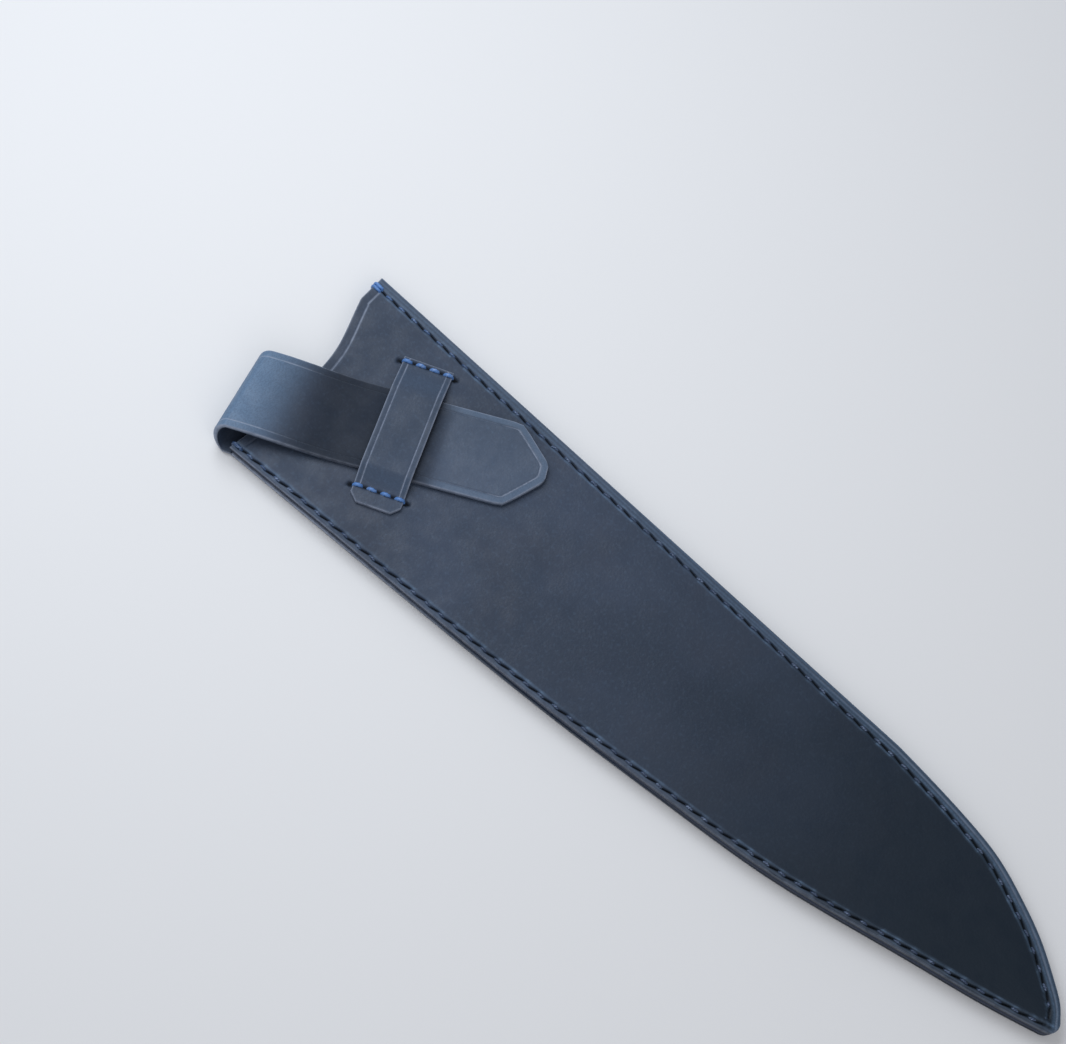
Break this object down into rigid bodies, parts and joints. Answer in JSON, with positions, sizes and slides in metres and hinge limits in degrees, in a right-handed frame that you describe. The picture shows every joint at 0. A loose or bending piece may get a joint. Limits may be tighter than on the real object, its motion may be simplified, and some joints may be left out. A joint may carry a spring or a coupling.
{
  "type": "knife blade guard",
  "caption": "Stitched leather sheath for a chef's knife blade, with a strap that folds round the heel and tucks under a sewn keeper.",
  "frame": {"origin": "on the back face, at half the sheath's length and half its mouth width", "axes": "+X from the mouth to the tip, +Y towards the spine edge, +Z out of the front face that carries the strap"},
  "size_m": [0.2653, 0.0645, 0.012],
  "materials": {
    "panel_leather": "waxed dark navy, satin",
    "welt_leather": "burnished edge, layered",
    "strap_leather": "waxed dark navy, lighter where it bends",
    "thread": "waxed twisted thread, blue"
  },
  "bodies": {
    "sheath": {"front_panel": "panel_leather", "back_panel": "panel_leather", "spine_welt": "welt_leather", "edge_welt": "welt_leather", "seam_thread": "thread", "keeper": "strap_leather", "keeper_thread_upper": "thread", "keeper_thread_lower": "thread", "strap_back_run": "strap_leather"},
    "strap_fold": {"strap_loop": "strap_leather", "strap_front_run": "strap_leather"},
    "strap_end": {"strap_tongue": "strap_leather"}
  },
  "joints": [
    {"name": "fold_roll", "type": "slide", "parent": "sheath", "child": "strap_fold", "axis": [-0.9205, -0.3907, 0], "range_m": [0, 0.0255], "deforming": ["strap_back_run"]},
    {"name": "tongue_draw", "type": "slide", "parent": "strap_fold", "child": "strap_end", "axis": [-0.9205, -0.3907, 0], "range_m": [0, 0.0255], "deforming": ["strap_front_run"]}
  ],
  "couplings": [
    {"joint": "tongue_draw", "follows": "fold_roll", "ratio": 1}
  ]
}
